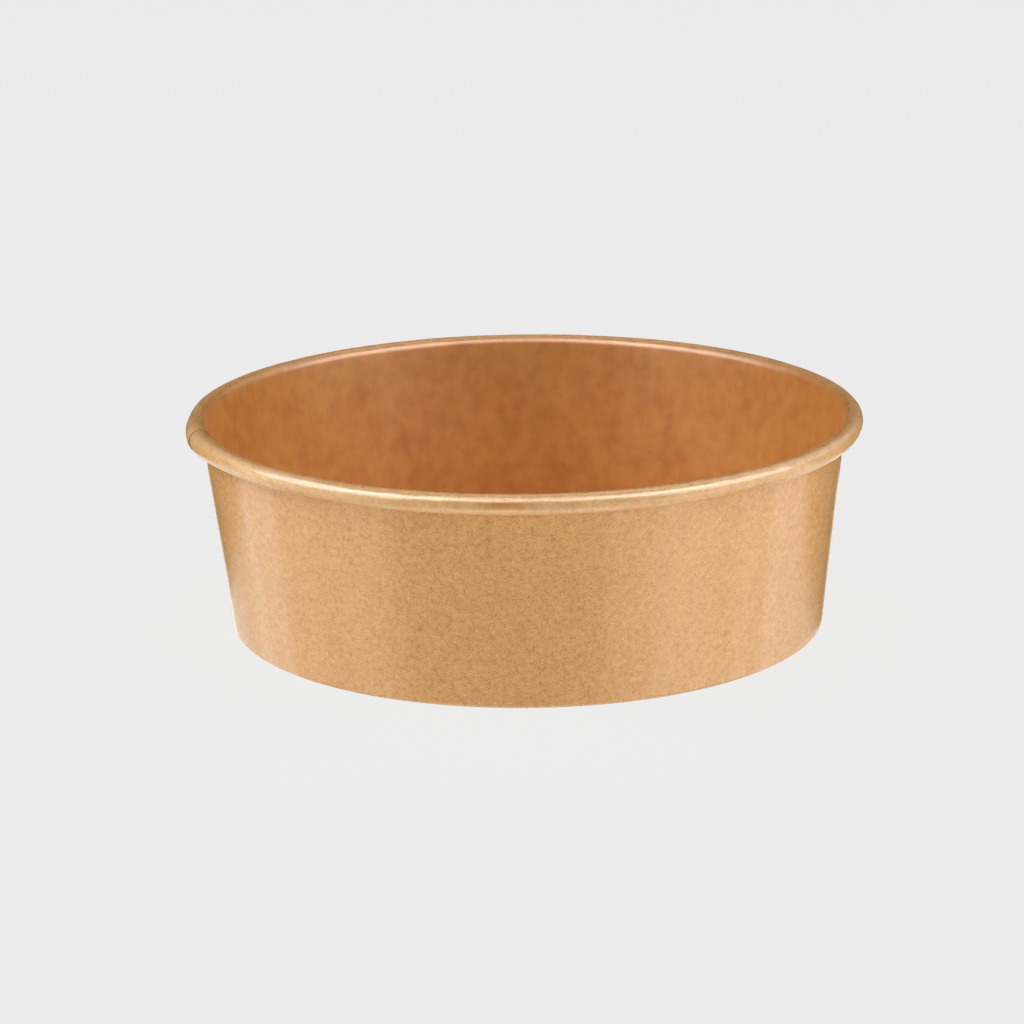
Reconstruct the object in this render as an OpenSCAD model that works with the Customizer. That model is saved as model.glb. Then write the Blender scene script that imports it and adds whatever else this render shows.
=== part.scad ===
// Round paperboard salad bowl. The side wall is one blank, wrapped to a cone and sealed down one lapped
// seam. Its upper edge is rolled outward into the rim, and its lower edge is folded in and up as a hem
// that holds the skirt of the base disc. Lengths are in millimetres. The origin is on the axis, in the
// plane that the foot stands on, and +Z points out of the mouth.

/* [Bowl] */
// Diameter over the rolled rim
rim_d = 150; // [120:1:200]
// Diameter of the wall's outer face, carried down to the table
foot_d = 133; // [105:1:180]
// Height from the table to the top of the rim
bowl_h = 48; // [35:1:90]

/* [Board] */
// Thickness of the coated board
board_t = 0.45; // [0.3:0.01:0.55]
// Thickness of the sealed line between two plies
seal_t = 0.03; // [0.02:0.01:0.06]

/* [Rolled rim] */
// Height and width of the roll
roll_d = 4.2; // [3.8:0.1:6]
// Free space between one turn of the roll and the next
roll_gap = 0.15; // [0.1:0.05:0.3]
// Angle that the cut edge runs on inside the roll after one full turn
tuck_angle = 80; // [40:5:120]

/* [Foot] */
// Height of the hollow under the base disc
recess_h = 7.2; // [5:0.1:15]
// Radius on the outside of the bend between the base disc and its skirt
skirt_bend_r = 1; // [0.8:0.05:1.4]
// Distance from the hem's cut edge up to where that bend starts
hem_gap = 1; // [0.5:0.1:2]
// Depth by which the fold is flattened where it stands on the table
foot_press = 0.05; // [0.03:0.01:0.1]

/* [Side seam] */
// Direction of the inner ply's cut edge, counted from +X
seam_azimuth = 194; // [0:1:359]
// Width of the lap
lap_w = 9; // [5:0.5:12]
// How much thinner than two plies the lap is, from the pressure that seals it
lap_squeeze = 0.2; // [0:0.02:0.24]
// Length over which the inner ply eases back outward past the lap
ease_w = 8; // [5:0.5:12]

/* [Hidden] */

wall_color = "#CB9F69";
base_color = "#C6985F";
$fn = 180;
// Angle from one point of a bend to the next
BEND_STEP = 15;

roll_r = roll_d / 2;
reach = [rim_d / 2 - roll_r - foot_d / 2, bowl_h - roll_r];

// The wall's frame has its origin where the outer face meets the table, X outward and Y up the wall.
// The slope makes the outer face run on as the inside of the roll.
slope = atan2(reach.x, reach.y) - asin((roll_r - board_t) / norm(reach));
roll_centre = [roll_r - board_t, reach.x * sin(slope) + reach.y * cos(slope)];

// The hem is three plies across: the wall, the base disc's skirt and the turned-up edge.
hem_w = 3 * board_t + 2 * seal_t;
fold_r = hem_w / 2;
fold_centre = [-fold_r, wall_y(-fold_r, fold_r - foot_press)];
// Half the angle of the fold that is pressed flat, straight below its centre
press_angle = acos(1 - foot_press / fold_r);

// The base disc lies over the hem, and its skirt runs down between the hem and the wall.
floor_z = recess_h + board_t;
skirt_x = -board_t - seal_t;
bend_z = floor_z - skirt_bend_r;
bend_centre = [skirt_x - skirt_bend_r, wall_y(skirt_x - skirt_bend_r, bend_z)];
hem_top_y = wall_y(-hem_w, bend_z - hem_gap);
lap_z = floor_z + seal_t;

// Thickness of the lap, and its angle and that of the easing in whole degrees, at the mean radius
lap_t = 2 * board_t - lap_squeeze;
mean_r = (foot_d + rim_d - 2 * roll_d) / 4;
lap_angle = round(lap_w / mean_r * 180 / PI);
ease_angle = round(ease_w / mean_r * 180 / PI);

// Height in the wall's frame of the point at x that lies z above the table
function wall_y(x, z) = (z + x * sin(slope)) / cos(slope);

// Radius and height in the bowl of a point in the wall's frame
function in_bowl(p) = [foot_d / 2 + p.x * cos(slope) + p.y * sin(slope),
                       p.y * cos(slope) - p.x * sin(slope)];

function polar(r, angle) = r * [cos(angle), sin(angle)];

function reversed(points) = [for (i = [len(points) - 1 : -1 : 0]) points[i]];

// Points of a bend, without the first, where the stretch before it ends
function bend(centre, r, from, to) =
  let (steps = ceil(abs(to - from) / BEND_STEP))
    [for (i = [1 : steps]) centre + polar(r, from + (to - from) * i / steps)];

// One face of the fold at the foot, from inside round to outside. The outer one is pressed flat below.
function fold_face(r) =
  let (low = 270 + slope)
    r < fold_r ? bend(fold_centre, r, 180, 360)
               : concat(bend(fold_centre, r, 180, low - press_angle),
                        [fold_centre + polar(r, low + press_angle)],
                        bend(fold_centre, r, low + press_angle, 360));

// One face of the rim's roll: over the top, back below, and up again inside. Each half turn is tighter
// than the last, so that the board clears itself.
function roll_face(r, tighten) =
  concat(bend(roll_centre, r, 180, 0),
         bend(roll_centre + [tighten, 0], r - tighten, 360, 180),
         bend(roll_centre, r - 2 * tighten, 180, 180 - tuck_angle));

// One face of the wall from the hem's cut edge to the roll's, depth behind the outer face in the hem
// and at x above the base disc
function wall_face(depth, x, tighten) =
  concat([[depth - hem_w, hem_top_y], [depth - hem_w, fold_centre.y]],
         fold_face(fold_r - depth),
         [[-depth, wall_y(-depth, lap_z)]],
         x == -depth ? [] : [[x, wall_y(x, lap_z)]],
         [[x, roll_centre.y]],
         roll_face(roll_centre.x - x, tighten));

// Section of the wall with its outer face at one x and its food side at the other
module wall_section(outer_x, food_x) {
  tighten = (outer_x - food_x + roll_gap) / 2;
  outline = concat(wall_face(0, outer_x, tighten), reversed(wall_face(board_t, food_x, tighten)));
  polygon([for (p = outline) in_bowl(p)]);
}

module sector(from, to)
  rotate_extrude(start = from, angle = to - from) children();

// One blank: a single ply most of the way round, two at the lap, and past the lap the inner ply, which
// eases outward a degree at a time to where a single ply lies. The hem presses all to one thickness.
module side_wall() {
  lap_end = seam_azimuth - lap_angle;
  color(wall_color) {
    sector(seam_azimuth, lap_end - ease_angle + 360) wall_section(0, -board_t);
    sector(lap_end, seam_azimuth) wall_section(0, -lap_t);
    for (i = [1 : ease_angle]) {
      eased = (lap_t - board_t) * (ease_angle + 0.5 - i) / ease_angle;
      sector(lap_end - i, lap_end - i + 1) wall_section(-eased, -board_t - eased);
    }
  }
}

// One face of the base disc from its skirt's cut edge to the axis
function disc_face(depth) =
  concat([[skirt_x - depth, fold_centre.y], [skirt_x - depth, bend_centre.y]],
         bend(bend_centre, skirt_bend_r - depth, 0, 90 + slope));

module base_disc() {
  top = [for (p = disc_face(0)) in_bowl(p)];
  underside = [for (p = disc_face(board_t)) in_bowl(p)];
  color(base_color)
    rotate_extrude()
      polygon(concat(top, [[0, floor_z], [0, recess_h]], reversed(underside)));
}

side_wall();
base_disc();
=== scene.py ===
# A round salad bowl of brown coated paperboard, seen from a little above its rim. Its side wall is one
# wrapped blank with a lapped seam, a rolled rim and a hem, and the hem holds the skirt of a base disc.
import math

import bmesh
import bpy
import numpy as np
from mathutils import Matrix, Vector


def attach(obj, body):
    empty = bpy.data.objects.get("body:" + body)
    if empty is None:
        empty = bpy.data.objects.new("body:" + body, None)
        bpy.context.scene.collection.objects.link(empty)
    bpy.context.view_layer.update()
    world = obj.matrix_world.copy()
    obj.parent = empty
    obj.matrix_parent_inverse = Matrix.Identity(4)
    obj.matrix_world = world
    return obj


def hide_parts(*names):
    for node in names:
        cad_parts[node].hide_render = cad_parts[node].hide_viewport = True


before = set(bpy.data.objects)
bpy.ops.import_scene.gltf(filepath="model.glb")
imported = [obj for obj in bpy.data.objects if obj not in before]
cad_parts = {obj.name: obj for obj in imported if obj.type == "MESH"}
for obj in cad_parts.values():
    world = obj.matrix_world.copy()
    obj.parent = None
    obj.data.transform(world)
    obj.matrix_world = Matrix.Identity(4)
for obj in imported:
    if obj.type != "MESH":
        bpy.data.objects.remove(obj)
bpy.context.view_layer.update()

# The camera looks down at about 16 degrees from three quarters of a metre, through a long lens, and is
# turned by two thirds of a degree, so that the right side of the rim stands a little higher.
MM = 0.001
camera_at = Vector((0, -725.6, 228.6)) * MM
camera_aim = Vector((-3.13, 0, 23.7)) * MM
camera_turn = math.radians(-0.68)
camera_data = bpy.data.cameras.new("camera")
camera_data.sensor_width = 36
camera_data.lens = 117.9
camera_data.clip_start = 0.01
camera = bpy.data.objects.new("camera", camera_data)
look = (camera_aim - camera_at).to_track_quat("-Z", "Y").to_matrix().to_4x4()
camera.matrix_world = Matrix.Translation(camera_at) @ look @ Matrix.Rotation(camera_turn, 4, "Z")
bpy.context.scene.collection.objects.link(camera)
bpy.context.scene.camera = camera

# The side wall is a fan-shaped blank of brown kraft board with a thin clear coating on both sides. It is
# wrapped to a cone and sealed under heat and pressure down a 9 mm lap. Its top is rolled outward over a
# die, and its foot is folded in and up round the base disc's skirt and pressed. Lengths are in
# millimetres and angles in degrees.
rim_radius = 75
foot_radius = 66.5
bowl_height = 48
board = 0.45
seal = 0.03
roll_radius = 2.1
roll_gap = 0.15
tuck_angle = 80
recess_height = 7.2
skirt_bend = 1
hem_gap = 1
seam_azimuth = 194
lap_angle = 7
ease_angle = 7
lap_squeeze = 0.2
# How far the foot lies to the right of the rim's axis, and the wall bulges beside the lap
foot_offset = 0.3
lap_bulge = 0.5
# How far the roll swells under the lap, the share by which it droops behind, and how much thinner the
# cut edge of the upper ply is
roll_swell = 0.75
roll_droop = 0.2
edge_skive = 0.15
# Creases that the die pressed into the roll: the azimuth and depth of each, outward or inward
roll_creases = ((232.5, 0.06), (241, -0.07), (266, 0.05), (297, -0.06), (314.5, -0.1), (317, 0.08),
                (331, -0.05))
crease_width = 0.8
# Gap drawn between the two plies of the lap, so that their meshes stay apart
ply_gap = 0.01


def smooth(low, high, value):
    """0 below low, 1 above high, and an S-curve between."""
    share = np.clip((np.asarray(value, float) - low) / (high - low), 0, 1)
    return share * share * (3 - 2 * share)


# The wall's own frame: x outward from its outer face and y up the slope
reach = np.array([rim_radius - roll_radius - foot_radius, bowl_height - roll_radius])
slope = math.atan2(*reach) - math.asin((roll_radius - board) / np.hypot(*reach))
roll_x = roll_radius - board
roll_y = reach[0] * math.sin(slope) + reach[1] * math.cos(slope)
hem_width = 3 * board + 2 * seal
fold_radius = hem_width / 2


def wall_y(x, z):
    """Height in the wall's frame of the point at x that lies z above the table."""
    return (z + x * math.sin(slope)) / math.cos(slope)


floor_z = recess_height + board
fold_y = wall_y(-fold_radius, fold_radius)
hem_top = wall_y(-hem_width, floor_z - skirt_bend - hem_gap)

# Stations along the board from the hem's cut edge to the roll's: the stretch and the place along it
stations = [("hem", y) for y in np.linspace(hem_top, fold_y, 4)[:-1]]
stations += [("fold", a) for a in np.radians(np.arange(180, 361, 15))]
stations += [("wall", y) for y in np.linspace(fold_y, roll_y, 26)[1:-1]]
stations += [("over", a) for a in np.radians(np.arange(180, -1, -9))]
stations += [("back", a) for a in np.radians(np.arange(-12, -181, -12))]
stations += [("tuck", a) for a in np.radians(np.arange(-195, -180 - tuck_angle, -15))]

# Azimuths round the blank, from the outer ply's cut edge once round to the inner ply's, with a finer
# step at the lap. The second pass over the lap is one turn on.
fine_step = 0.5
plain_step = 0.75
outer_edge = seam_azimuth - lap_angle
outer_eased = seam_azimuth + ease_angle + 1
ease_start = outer_edge - ease_angle + 360
inner_edge = seam_azimuth + 360
azimuths = np.concatenate([
    np.arange(outer_edge, outer_eased, fine_step),
    np.arange(outer_eased, ease_start - 1, plain_step),
    np.arange(ease_start - 1, inner_edge + 0.01, fine_step),
])


def hand_rolled(azimuth, angle):
    """How far the roll stands off its true circle: fuller under the lap, with soft waves and creases."""
    turn = np.radians(azimuth)
    under_lap = roll_swell * np.exp(-((azimuth % 360 - seam_azimuth - 2) / 8) ** 2)
    waves = 0.03 * np.sin(7 * turn + 1) + 0.025 * np.sin(17 * turn + 2) + 0.015 * np.sin(41 * turn)
    creases = sum(depth * np.exp(-((azimuth % 360 - at) / crease_width) ** 2) for at, depth in roll_creases)
    outward = ((1 + math.cos(angle + math.radians(45))) / 2) ** 2
    return outward * under_lap + math.cos(angle / 2) ** 2 * (waves + creases)


def board_faces(stretch, along):
    """Both faces of the blank at one station, as radius and height at each azimuth."""
    inner = smooth(ease_start, outer_edge + 360, azimuths)
    outer = 1 - smooth(seam_azimuth + 1, seam_azimuth + ease_angle, azimuths)
    lapped = np.maximum(inner, outer)
    beside_lap = np.exp(-((azimuths % 360 - seam_azimuth + 6) / 11) ** 2)
    # The hem's press squeezes the lap to one ply, and the wall above it eases out to the lap's thickness
    height = {"hem": 0, "fold": 0, "wall": along}.get(stretch, roll_y)
    pressed = 1 - smooth(floor_z - 1, floor_z + 3, height)
    lap_ply = board - lap_squeeze / 2 - pressed * (board - lap_squeeze) / 2
    near = inner * lap_ply
    far = near + board - lapped * (board - lap_ply + ply_gap)
    if stretch in ("over", "back"):
        far = far - edge_skive * smooth(inner_edge - 2, inner_edge, azimuths)
    tighten = (board + lapped * (board - lap_squeeze) + roll_gap) / 2
    faces = []
    for depth in (near, far):
        if stretch == "hem":
            x = depth - hem_width
            y = np.full_like(azimuths, along)
        elif stretch == "fold":
            x = -fold_radius + (fold_radius - depth) * math.cos(along)
            y = fold_y + (fold_radius - depth) * math.sin(along)
        elif stretch == "wall":
            share = along / roll_y
            x = lap_bulge * beside_lap * smooth(0.2, 0.8, share) * (1 - smooth(0.9, 1, share)) - depth
            y = np.full_like(azimuths, along)
        else:
            half_turns = {"over": 0, "back": 1, "tuck": 2}[stretch]
            turn_radius = roll_x + depth - half_turns * tighten
            if half_turns < 2:
                turn_radius = turn_radius + hand_rolled(azimuths, along)
            x = roll_x + (half_turns == 1) * tighten + turn_radius * math.cos(along)
            y = roll_y + turn_radius * math.sin(along) * (1 + roll_droop * (half_turns == 1))
        radius = foot_radius + x * math.cos(slope) + y * math.sin(slope)
        z = y * math.cos(slope) - x * math.sin(slope)
        faces.append((radius, np.maximum(z, 0)))
    return faces


def place(radius, z, azimuth):
    """Points of the bowl in metres, from radius and height in millimetres and azimuth in degrees."""
    angle = np.radians(azimuth)
    aside = foot_offset * (1 - z / bowl_height) ** 2
    return np.stack([radius * np.cos(angle) + aside, radius * np.sin(angle), z + 0 * angle], -1) * MM


# Third coordinate of the blank attribute on the two faces of a sheet
near_side = 0
far_side = 0.1


def sheet_mesh(name, near, far, flat, ring):
    """A closed sheet of board between two grids of points. flat holds the place on the flat blank."""
    rows, columns = near.shape[:2]
    count = rows * columns
    spans = columns if ring else columns - 1

    def corner(face, row, column):
        return face * count + row * columns + column % columns

    quads, cut = [], []
    for face in (0, 1):
        for i in range(rows - 1):
            for j in range(spans):
                quads.append([corner(face, i, j), corner(face, i + 1, j),
                              corner(face, i + 1, j + 1), corner(face, i, j + 1)][::1 - 2 * face])
    for i in (0, rows - 1):
        for j in range(spans):
            cut.append([corner(0, i, j), corner(0, i, j + 1), corner(1, i, j + 1), corner(1, i, j)])
    if not ring:
        for j in (0, columns - 1):
            for i in range(rows - 1):
                cut.append([corner(0, i, j), corner(0, i + 1, j), corner(1, i + 1, j), corner(1, i, j)])
    mesh = bpy.data.meshes.new(name)
    points = np.concatenate([near.reshape(-1, 3), far.reshape(-1, 3)])
    mesh.from_pydata(points.tolist(), [], quads + cut)
    for polygon in mesh.polygons[len(quads):]:
        polygon.material_index = 1
    places = mesh.attributes.new("blank", "FLOAT_VECTOR", "POINT")
    sides = [np.concatenate([flat, np.full(flat.shape[:2] + (1,), side)], -1)
             for side in (near_side, far_side)]
    places.data.foreach_set("vector", np.stack(sides).astype(np.float32).ravel())
    sheet = bmesh.new()
    sheet.from_mesh(mesh)
    bmesh.ops.recalc_face_normals(sheet, faces=sheet.faces)
    sheet.to_mesh(mesh)
    sheet.free()
    mesh.shade_smooth()
    mesh.set_sharp_from_angle(angle=math.radians(50))
    return mesh


def new_piece(mesh, *materials):
    """An object in the scene for a mesh, with its materials."""
    for material in materials:
        mesh.materials.append(material)
    piece = bpy.data.objects.new(mesh.name, mesh)
    bpy.context.scene.collection.objects.link(piece)
    return piece


near_rows, far_rows = [], []
for stretch, along in stations:
    near_face, far_face = board_faces(stretch, along)
    near_rows.append(place(*near_face, azimuths))
    far_rows.append(place(*far_face, azimuths))
near = np.array(near_rows)
far = np.array(far_rows)
# The place of each point on the blank laid flat: metres along it, and up it from the hem's cut edge,
# measured up one column clear of the lap
clear_column = 60
steps_up = np.diff((near + far)[:, clear_column] / 2, axis=0)
up_board = np.concatenate([[0], np.cumsum(np.linalg.norm(steps_up, axis=1))])
round_board = np.radians(azimuths) * (foot_radius + rim_radius) / 2 * MM
flat = np.stack(np.meshgrid(up_board, round_board, indexing="ij")[::-1], -1)
wall_mesh = sheet_mesh("wrapped_wall", near, far, flat, ring=False)


def linear(hex_colour):
    """The linear colour of an sRGB hex value, with full alpha."""
    parts = [int(hex_colour[i:i + 2], 16) / 255 for i in (1, 3, 5)]
    return [p / 12.92 if p <= 0.04045 else ((p + 0.055) / 1.055) ** 2.4 for p in parts] + [1]


def add_node(tree, kind, inputs=(), **settings):
    """Adds a node, sets its settings, and fills or links its inputs."""
    node = tree.nodes.new(kind)
    for name, value in settings.items():
        setattr(node, name, value)
    for name, value in dict(inputs).items():
        if isinstance(value, bpy.types.NodeSocket):
            tree.links.new(value, node.inputs[name])
        else:
            node.inputs[name].default_value = value
    return node


def coated_kraft_board(name, outside, food_side, roll=None, roll_start=0, marks=()):
    """Kraft board under a thin clear film: brown, cloudy and full of short fibres, with a satin shine.
    outside gives the colours of a sheet's near face and food_side those of its far face; a darker food_side
    paints shade and a paler roll paints a highlight."""
    material = bpy.data.materials.new(name)
    material.use_nodes = True
    tree = material.node_tree
    tree.nodes.clear()
    blank = add_node(tree, "ShaderNodeAttribute", attribute_name="blank").outputs["Vector"]
    place_on_blank = add_node(tree, "ShaderNodeSeparateXYZ", {0: blank}).outputs

    def scaled(size_x, size_y):
        """The place on the blank, counted in steps of the given size in millimetres."""
        return add_node(tree, "ShaderNodeVectorMath", {
            0: blank, 1: (1 / size_x / MM, 1 / size_y / MM, 100)}, operation="MULTIPLY").outputs[0]

    def noise(size_x, size_y, detail, roughness=0.5):
        return add_node(tree, "ShaderNodeTexNoise", {
            "Vector": scaled(2 * size_x, 2 * size_y), "Scale": 1, "Detail": detail,
            "Roughness": roughness}).outputs[0]

    def spread(value, low, high, to_low, to_high):
        return add_node(tree, "ShaderNodeMapRange", {
            "Value": value, "From Min": low, "From Max": high,
            "To Min": to_low, "To Max": to_high}).outputs[0]

    def times(a, b):
        return add_node(tree, "ShaderNodeMath", {0: a, 1: b}, operation="MULTIPLY").outputs[0]

    def either(a, b):
        return add_node(tree, "ShaderNodeMath", {0: a, 1: b}, operation="MAXIMUM").outputs[0]

    def mix(factor, a, b):
        return add_node(tree, "ShaderNodeMix", {0: factor, 6: a, 7: b}, data_type="RGBA").outputs[2]

    # Sizes along and up the blank in millimetres: clouds of the pulp, broad shades, single fibres, tufts of
    # them, and the paths and breaks of the longer hairs
    clouds = noise(1.9, 2.3, 2)
    shades = noise(6, 9, 1)
    fibres = noise(0.22, 0.18, 2, 0.7)
    tufts = noise(0.65, 0.65, 1)
    hair_paths = noise(1.6, 1.6, 1)
    hair_breaks = spread(noise(0.8, 0.8, 0), 0.57, 0.63, 0, 1)

    def hairs(contour):
        """Broken hair lines along one contour of a noise."""
        off = add_node(tree, "ShaderNodeMath", {0: hair_paths, 1: contour, 2: 0.012}, operation="COMPARE")
        return times(off.outputs[0], hair_breaks)

    matted = add_node(tree, "ShaderNodeMath", {
        0: tufts, 1: 0.45, 2: fibres}, operation="MULTIPLY_ADD").outputs[0]
    pale_fibres = either(spread(matted, 0.74, 1.04, 0, 1), times(hairs(0.56), 0.55))
    dark_fibres = either(spread(matted, 0.71, 0.41, 0, 1), times(hairs(0.44), 0.42))

    def fibrous(base, pale, dark, cloud_strength, fibre_strength):
        """The colour of one finish with its clouds, shades and fibres."""
        colour = mix(spread(clouds, 0.35, 0.62, cloud_strength, 0), linear(base), linear(dark))
        colour = mix(spread(shades, 0.35, 0.65, 0, cloud_strength / 2), colour, linear(pale))
        colour = mix(times(pale_fibres, fibre_strength), colour, linear(pale))
        return mix(times(dark_fibres, fibre_strength), colour, linear(dark))

    colour = fibrous(*food_side)
    ripple_height = 0.0
    on_food_side = spread(place_on_blank["Z"], 0.4 * far_side, 0.6 * far_side, 0, 1)
    roughness = add_node(tree, "ShaderNodeMath", {
        0: spread(fibres, 0.3, 0.7, 0.16, 0.24), 1: times(on_food_side, 0.12)}, operation="ADD").outputs[0]
    # Where the board enters the roll its colour turns to the roll's paler colours, a painted highlight;
    # there the film is also smoother and ripples a little
    if roll:
        rolled = spread(place_on_blank["Y"], roll_start + 0.6 * MM, roll_start + 3.7 * MM, 0, 1)
        colour = mix(rolled, colour, fibrous(*roll))
        ripple_height = times(rolled, noise(1.8, 0.9, 2))
        roughness = times(roughness, spread(rolled, 0, 1, 1, 0.7))
    colour = mix(on_food_side, fibrous(*outside), colour)
    for x, y, side, half_length, half_width, slant, shade, strength in marks:
        from_mark = add_node(tree, "ShaderNodeMapping", {
            "Vector": blank, "Location": (x * MM, y * MM, side), "Rotation": (0, 0, math.radians(slant)),
            "Scale": (half_length * MM, half_width * MM, 0.05)}, vector_type="TEXTURE").outputs[0]
        distance = add_node(tree, "ShaderNodeVectorMath", {0: from_mark}, operation="LENGTH")
        near_mark = spread(distance.outputs["Value"], 0.4, 1.2, strength, 0)
        if half_width > 0.5:
            near_mark = times(near_mark, spread(fibres, 0.3, 0.6, 0.5, 1))
        colour = mix(near_mark, colour, linear(shade))
    hue = spread(noise(1.3, 1.5, 1), 0.3, 0.7, 0.496, 0.504)
    colour = add_node(tree, "ShaderNodeHueSaturation", {"Hue": hue, "Color": colour}).outputs[0]
    ripples = add_node(tree, "ShaderNodeBump", {
        "Height": ripple_height, "Strength": 1, "Distance": 0.12 * MM})
    bump = add_node(tree, "ShaderNodeBump", {
        "Height": fibres, "Strength": 0.2, "Distance": 0.02 * MM, "Normal": ripples.outputs[0]})
    shader = add_node(tree, "ShaderNodeBsdfPrincipled", {
        "Base Color": colour, "Normal": bump.outputs[0], "Roughness": roughness, "IOR": 1.5})
    output = add_node(tree, "ShaderNodeOutputMaterial", {"Surface": shader.outputs[0]})
    output.is_active_output = True
    return material


# Finishes, two of them with painted light: base, pale and dark colour, and the strength of the clouds and
# of the fibres
outside_board = ("#E8B071", "#FFCC8B", "#BD7B40", 0.15, 0.9)
# The food side is a darker, more orange copy of the outside board: painted shade for the dim light bounced
# round inside the bowl
food_side_painted_shade = ("#CC8B43", "#DAA45B", "#B27032", 0.6, 0.18)
# The roll is a paler copy of the outside board: a painted highlight for the light the roll catches from
# above
roll_painted_highlight = ("#EFBB80", "#FFD497", "#BC8448", 0.2, 0.65)
cut_edge = ("#AD7B48", "#C7985F", "#8F6238", 0.5, 0.8)

# Marks in the film and the board: a brown stain, three dark specks and a dark fibre, each with its place
# on the blank, its side, its half length and half width, its slant, its colour and its strength
small_marks = (
    (328.9, 57.5, far_side, 5.5, 0.8, 0, "#CC8434", 0.85),
    (300.2, 55.5, far_side, 0.2, 0.17, 0, "#3A2413", 0.9),
    (309.5, 57, far_side, 0.17, 0.15, 0, "#5A3A22", 0.8),
    (291.5, 40.7, near_side, 0.2, 0.16, 0, "#6B4526", 0.7),
    (366.6, 55.6, far_side, 0.85, 0.12, 30, "#5F3F22", 0.9),
)
roll_start = up_board[[stretch for stretch, along in stations].index("over")]
wall_board = coated_kraft_board("kraft_board_wall_painted_shade_and_highlight", outside_board, food_side_painted_shade,
                                roll_painted_highlight, roll_start, small_marks)
cut_board = coated_kraft_board("raw_kraft_cut_edge", cut_edge, cut_edge)
wall = new_piece(wall_mesh, wall_board, cut_board)
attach(wall, "root")
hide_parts("side_wall")

# The base is a disc of the same board, cupped downward by a punch. Its skirt hangs between the wall and
# the wall's hem and is sealed there, so the flat floor stands 7 mm above the table.
skirt_x = -board - seal
bend_x = skirt_x - skirt_bend
bend_y = wall_y(bend_x, floor_z - skirt_bend)
disc_azimuths = np.arange(0, 360, 1.5)
hub_radius = 2


def disc_face(depth):
    """Radius and height of one face of the base disc, from near its centre to the skirt's cut edge."""
    path = []
    for angle in np.radians(np.linspace(90, 0, 7)) + slope * np.linspace(1, 0, 7):
        path.append((bend_x + (skirt_bend - depth) * math.cos(angle),
                     bend_y + (skirt_bend - depth) * math.sin(angle)))
    for y in np.linspace(bend_y, fold_y, 4)[1:]:
        path.append((skirt_x - depth, y))
    rim = [(foot_radius + x * math.cos(slope) + y * math.sin(slope),
            y * math.cos(slope) - x * math.sin(slope)) for x, y in path]
    floor = [(r, floor_z - depth) for r in np.linspace(hub_radius, rim[0][0], 14)[:-1]]
    return floor + rim


# The near face is the underside, as the outside is the wall's
near = np.array([place(r, z, disc_azimuths) for r, z in disc_face(board)])
far = np.array([place(r, z, disc_azimuths) for r, z in disc_face(0)])
disc_mesh = sheet_mesh("base_disc_board", near, far, near[..., :2].copy(), ring=True)
# The grid leaves a small hole at the centre: its edge is taken out, and both faces are closed
hub = bmesh.new()
hub.from_mesh(disc_mesh)
hole_edge = [f for f in hub.faces
             if f.material_index == 1 and math.hypot(*f.calc_center_median()[:2]) < 1.5 * hub_radius * MM]
bmesh.ops.delete(hub, geom=hole_edge, context="FACES_ONLY")
bmesh.ops.holes_fill(hub, edges=[e for e in hub.edges if e.is_boundary])
bmesh.ops.recalc_face_normals(hub, faces=hub.faces)
hub.to_mesh(disc_mesh)
hub.free()
base_board = coated_kraft_board("kraft_board_base_painted_shade", outside_board, food_side_painted_shade)
base = new_piece(disc_mesh, base_board, cut_board)
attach(base, "root")
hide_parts("base_disc")

# The floor is a light table: a pale sheet that glows evenly and takes only a faint shadow. Soft panels
# stand round it and below it at both sides, where the film on the wall mirrors them as pale bands.
floor_mesh = bpy.data.meshes.new("floor")
floor_mesh.from_pydata([(-9, -9, 0), (9, -9, 0), (9, 14, 0), (-9, 14, 0)], [], [(0, 1, 2, 3)])
light_table = bpy.data.materials.new("opal_acrylic_light_table")
light_table.use_nodes = True
opal = light_table.node_tree.nodes["Principled BSDF"].inputs
opal["Base Color"].default_value = linear("#353535")
opal["Roughness"].default_value = 0.9
opal["Specular IOR Level"].default_value = 0
opal["Emission Color"].default_value = linear("#FFFFFF")
opal["Emission Strength"].default_value = 0.815
floor = new_piece(floor_mesh, light_table)
floor.visible_glossy = False
floor.visible_shadow = False

# Every panel faces this point, in metres
panel_target = Vector((0, 0, 0.03))


def soft_panel(name, azimuth, elevation, distance, width, height, fill=0, shine=0):
    """A softbox aimed at the bowl. Azimuth 0 is the camera's side and positive is to its right. The
    fill lights the board, and the shine is what its film mirrors, both in watts."""
    turn = math.radians(azimuth)
    rise = math.radians(elevation)
    direction = Vector((math.sin(turn) * math.cos(rise), -math.cos(turn) * math.cos(rise), math.sin(rise)))
    at = direction * distance
    aim = (panel_target - at).to_track_quat("-Z", "Y").to_matrix().to_4x4()
    for share, power in (("fill", fill), ("shine", shine)):
        if power:
            data = bpy.data.lights.new(name + "_" + share, "AREA")
            data.shape = "RECTANGLE"
            data.size = width
            data.size_y = height
            data.energy = power
            panel = bpy.data.objects.new(data.name, data)
            panel.matrix_world = Matrix.Translation(at) @ aim
            panel.visible_diffuse = share == "fill"
            panel.visible_glossy = share == "shine"
            bpy.context.scene.collection.objects.link(panel)


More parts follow.
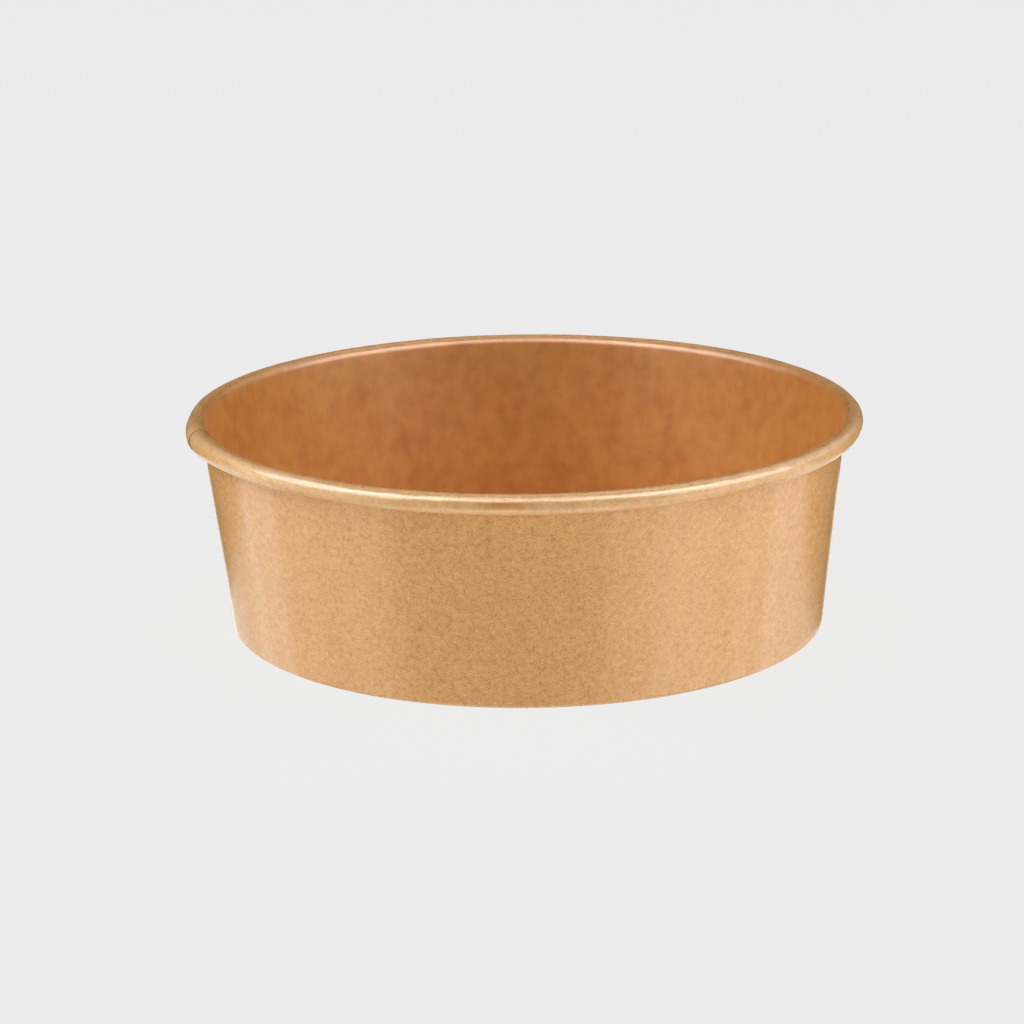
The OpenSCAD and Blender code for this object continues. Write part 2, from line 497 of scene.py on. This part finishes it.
# Panels that light the board: strong ones from both sides, weak ones round the front and overhead
soft_panel("left", -90, 40, 1.1, 0.6, 0.5, fill=5.9)
soft_panel("right", 90, 40, 1.1, 0.6, 0.5, fill=4)
for azimuth, power in ((-90, 0.75), (-45, 0.8), (0, 1.05), (45, 1), (90, 0.75)):
    soft_panel("mid_" + str(azimuth), azimuth, 22, 1, 0.5, 0.4, fill=power)
soft_panel("low_front", 35, 8, 1, 0.4, 0.3, fill=0.35)
soft_panel("low_right", 70, 8, 1, 0.4, 0.3, fill=0.45)
soft_panel("overhead", 0, 88, 1.2, 0.7, 0.7, fill=0.4)
# Panels that the film mirrors: above the rim for the roll's pale strip and the rear lip, level with it for
# the roll's lower half, and below the table for the wall's pale bands and its pale foot
soft_panel("above_back", 180, 60, 1.2, 0.7, 0.4, shine=1.2)
soft_panel("rear_right", 143, 59, 1.1, 0.6, 0.5, shine=0.9)
soft_panel("high_front", 0, 62, 1.1, 0.9, 0.9, shine=12)
soft_panel("front_strip", 0, 48, 1.1, 1, 0.22, shine=3)
for azimuth, power in ((-50, 9), (50, 8)):
    soft_panel("high_" + str(azimuth), azimuth, 48, 1.1, 0.6, 0.6, shine=power)
for azimuth, power in ((-110, 1.5), (-85, 9), (-55, 7), (55, 6), (85, 8),
                       (110, 1.5), (135, 1), (-135, 0.5)):
    soft_panel("level_" + str(azimuth), azimuth, 33, 1, 0.5, 0.7, shine=power)
for azimuth, power in ((-92, 1.2), (-62, 0.7), (62, 0.7), (90, 1.1)):
    soft_panel("side_" + str(azimuth), azimuth, -2, 0.9, 0.45, 0.28, shine=power)
for azimuth, power in ((-170, 0.4), (-112, 0.34), (-97, 0.2), (-80, 0.24), (-60, 0.34),
                       (40, 0.35), (60, 0.54), (80, 0.34), (95, 0.24), (109, 0.35), (170, 0.4)):
    soft_panel("below_" + str(azimuth), azimuth, -24, 0.8, 0.28, 0.3, shine=power)
soft_panel("below_far_left", -140, -31, 0.8, 0.6, 0.36, shine=0.62)
soft_panel("below_far_right", 142, -32, 0.8, 0.6, 0.35, shine=0.6)
for azimuth in (-60, 0, 60):
    soft_panel("under_" + str(azimuth), azimuth, -62, 0.8, 0.7, 0.5, shine=1.4)
backdrop = bpy.data.worlds.new("pale_backdrop")
backdrop.use_nodes = True
backdrop.node_tree.nodes["Background"].inputs["Color"].default_value = linear("#EAEAEA")
backdrop.cycles_visibility.diffuse = False
backdrop.cycles_visibility.glossy = False
bpy.context.scene.world = backdrop
bpy.context.scene.view_settings.view_transform = "Standard"
